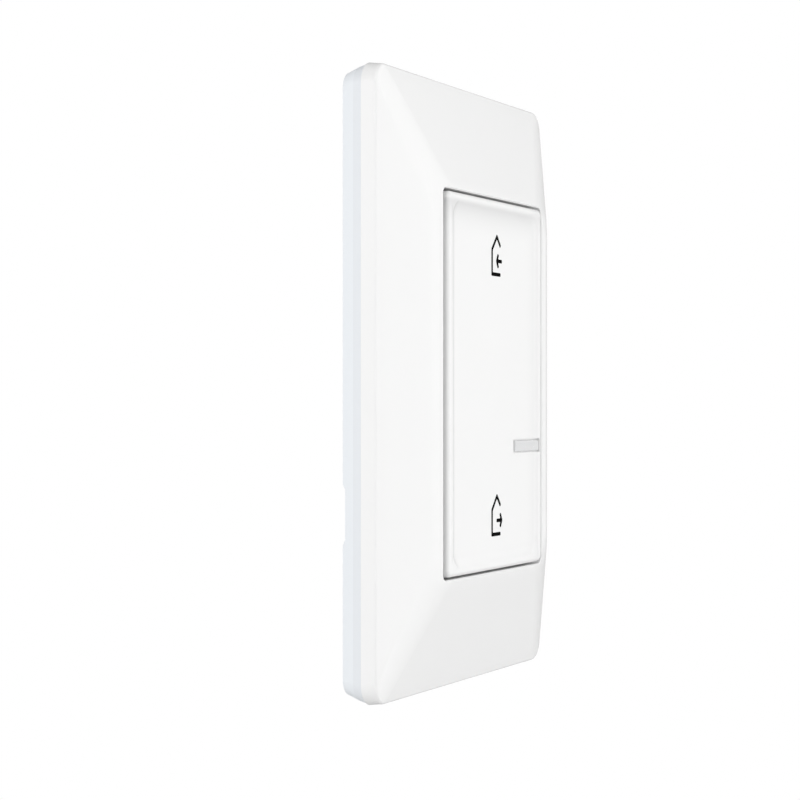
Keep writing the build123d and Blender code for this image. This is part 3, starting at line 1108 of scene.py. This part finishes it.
@dataclass
class Studio:
    """Camera at the photograph's view, soft lamps, a pale floor and a plain white surround."""

    eye: Place = (-0.3753, -0.1774, -0.00305)
    yaw_deg: float = 63.823
    lens: float = 91.1
    sensor: float = 36.0
    near: float = 0.01
    ambient: Colour = (0.42, 0.42, 0.42)
    white: Colour = (1.0, 1.0, 1.0)
    floor_drop: float = 0.30
    floor_radius: float = 1.2
    floor_sides: int = 128
    floor_colour: Colour = (0.72, 0.72, 0.72)
    floor_rough: float = 0.9
    floor_white: float = 0.8

    def camera(self) -> None:
        """Place the level camera."""
        data = bpy.data.cameras.new("main_camera")
        data.lens = self.lens
        data.sensor_width = self.sensor
        data.clip_start = self.near
        camera = bpy.data.objects.new("main_camera", data)
        yaw = math.radians(self.yaw_deg)
        forward = Vector((math.sin(yaw), math.cos(yaw), 0.0))
        camera.location = self.eye
        camera.rotation_euler = forward.to_track_quat("-Z", "Y").to_euler()
        bpy.context.scene.collection.objects.link(camera)
        bpy.context.scene.camera = camera

    def world(self) -> None:
        """Make the surround white to the eye and a plain grey light to the object."""
        world = bpy.data.worlds.new("surround")
        bpy.context.scene.world = world
        world.use_nodes = True
        graph = Graph(world.node_tree)
        ground = graph.tree.nodes["Background"]
        path = graph.add("ShaderNodeLightPath")
        colour = graph.mix(path.outputs["Is Camera Ray"], self.ambient, self.white)
        graph.link(colour, ground.inputs["Color"])

    def floor(self) -> None:
        """Lay the plain pale floor well under the object, mostly white to the eye."""
        deselect_all()
        level = cad_box[0].z - self.floor_drop
        bpy.ops.mesh.primitive_circle_add(
            vertices=self.floor_sides, radius=self.floor_radius, fill_type="NGON", location=(0.0, 0.0, level)
        )
        floor = bpy.context.object
        floor.name = "floor"
        material = bpy.data.materials.new("floor_white")
        material.use_nodes = True
        graph = Graph(material.node_tree)
        shader = graph.tree.nodes["Principled BSDF"]
        graph.fed(shader, {"Base Color": self.floor_colour, "Roughness": self.floor_rough})
        path = graph.add("ShaderNodeLightPath")
        glow = graph.add("ShaderNodeEmission")
        both = graph.add("ShaderNodeMixShader")
        share = graph.math("MULTIPLY", path.outputs["Is Camera Ray"], self.floor_white)
        graph.fed(both, {0: share, 1: shader.outputs[0], 2: glow.outputs[0]})
        graph.link(both.outputs[0], graph.tree.nodes["Material Output"].inputs["Surface"])
        floor.data.materials.append(material)

    def build(self) -> None:
        """Set up the camera, the surround, the floor and the lamps."""
        bpy.context.scene.view_settings.view_transform = "Standard"
        self.camera()
        self.world()
        self.floor()
        for lamp in LAMPS:
            lamp.build()


def middle_of(node: str) -> Place:
    """Return the middle of a node's box.

    Args:
        node: Name of the node.

    Returns:
        The middle, in metres.
    """
    low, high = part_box(node)
    return tuple((low + high) / 2)


@dataclass
class WallSwitch:
    """The whole switch: shells, foam pads, printed signs, the battery's plus sign and the bar's bead.

    The borders, the rise and the runs place the painted shades on the rocker, and the lengths after
    them place the painted shade band on the frame and the second colours of the small parts.
    """

    probe_rise: float = 26.5 * MM
    end_border: float = 1.5 * MM
    side_border: float = 1.7 * MM
    # Place of the painted shades on the rocker
    painted_shade_rise: float = 0.7 * MM
    painted_top_run: float = 8.0 * MM
    painted_side_run: float = 8.0 * MM
    band_middle: float = -3.65 * MM
    band_half: float = 1.0 * MM
    led_window: float = 0.85 * MM
    antenna_ends: float = 2.9 * MM
    capacitor_ends: float = 3.1 * MM

    def shells(self) -> list[Shell]:
        """List every shell with its body and finish."""
        bodies = frame["record"]["behaviour"]["bodies"]
        body_of = {node: Body(body) for body, nodes in bodies.items() for node in nodes}
        slots = {row["node"]: Slot(row["material_slot"]) for row in frame["record"]["subparts"]}
        kept = sorted(set(frame["nodes"]) - {FoamPads.node})
        return [Shell(node, body_of[node], slots[node]) for node in kept]

    def face_level(self) -> float:
        """Find the rocker's face by looking at its upper half from the front.

        Returns:
            Place of the face along the depth.
        """
        eye = Vector((0.0, cad_box[0].y - MM, self.probe_rise))
        _, place, _, _ = frame["nodes"]["rocker"].ray_cast(eye, Vector(DEEP))
        return place.y

    def accents_and_painted_band(self) -> dict[Slot, Accent]:
        """List the frame's painted shade band and the second colours of the small parts, placed on their
        pieces.
        """
        led, antenna = middle_of("status_led"), middle_of("chip_antenna")
        capacitor = middle_of("buffer_capacitor")
        return {
            # Painted shade: darker band on the frame under the plate's rim overhang
            Slot.FRAME: Accent((0.0, self.band_middle, 0.0), DEEP, self.band_half, False, FRAME_BAND_PAINTED_SHADE),
            Slot.LED: Accent(led, IN_FACE, self.led_window, False, PHOSPHOR),
            Slot.ANTENNA: Accent(antenna, ACROSS, self.antenna_ends, True, TIN, metal=True),
            Slot.CAPACITOR: Accent(capacitor, ACROSS, self.capacitor_ends, True, TIN, metal=True),
        }

    def painted_shades(self) -> tuple[PaintedEdgeShade, ...]:
        """List the painted shades along the rocker's upper and right borders."""
        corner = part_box("rocker")[1]
        return (
            PaintedEdgeShade(UP, corner.z - self.end_border, self.painted_shade_rise, self.painted_top_run, TOP_PAINTED_SHADE),
            PaintedEdgeShade(ACROSS, corner.x - self.side_border, self.painted_shade_rise, self.painted_side_run, SIDE_PAINTED_SHADE),
        )

    def finishes(self) -> dict[Slot, Finish]:
        """List every finish, with what is laid over it."""
        accents_and_painted_band = self.accents_and_painted_band()
        finishes = {slot: replace(finish, accent=accents_and_painted_band.get(slot)) for slot, finish in FINISHES.items()}
        finishes[Slot.KEY] = replace(finishes[Slot.KEY], painted_shades=self.painted_shades())
        return finishes

    def signs(self) -> list[HouseSign]:
        """List the two signs of the rocker."""
        shared = {"body": Body.ROCKER, "slot": Slot.KEY}
        return [
            HouseSign(
                name="arrive_sign",
                way=Way.ARRIVE,
                floor=22.30 * MM,
                arrow_tip=0.12 * MM,
                arrow_tail=3.10 * MM,
                **shared,
            ),
            HouseSign(
                name="leave_sign",
                way=Way.LEAVE,
                floor=-30.14 * MM,
                arrow_tip=3.36 * MM,
                arrow_tail=0.40 * MM,
                **shared,
            ),
        ]

    def build(self, effects: Effects) -> None:
        """Build and dress every piece.

        Args:
            effects: The shared groups.
        """
        materials = {slot: finish.material(effects) for slot, finish in self.finishes().items()}
        materials[Slot.LIGHT_GUIDE] = clear_material(effects)
        level = self.face_level()
        for shell in self.shells():
            shell.dress(shell.build(), materials[shell.slot])
        pads = FoamPads()
        pads.dress(pads.build(), materials[Slot.PAD])
        ink = INK.material(effects)
        for sign in self.signs():
            sign.dress(sign.build(level), ink)
        mark = PlusMark(
            name="battery_plus",
            body=Body.BASE,
            slot=Slot.COIN,
            facing=Facing.WALL,
            centre=middle_of("coin_cell")[2],
        )
        mark.dress(mark.build(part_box("coin_cell")[1].y), STAMP.material(effects))
        seal = BarSeal()
        seal.dress(seal.build(level), SEAL.material(effects))


def main() -> None:
    """Build the switch and its studio."""
    logging.basicConfig(level=logging.INFO, format="%(name)s %(message)s")
    WallSwitch().build(Effects())
    Studio().build()


if __name__ == "__main__":
    main()
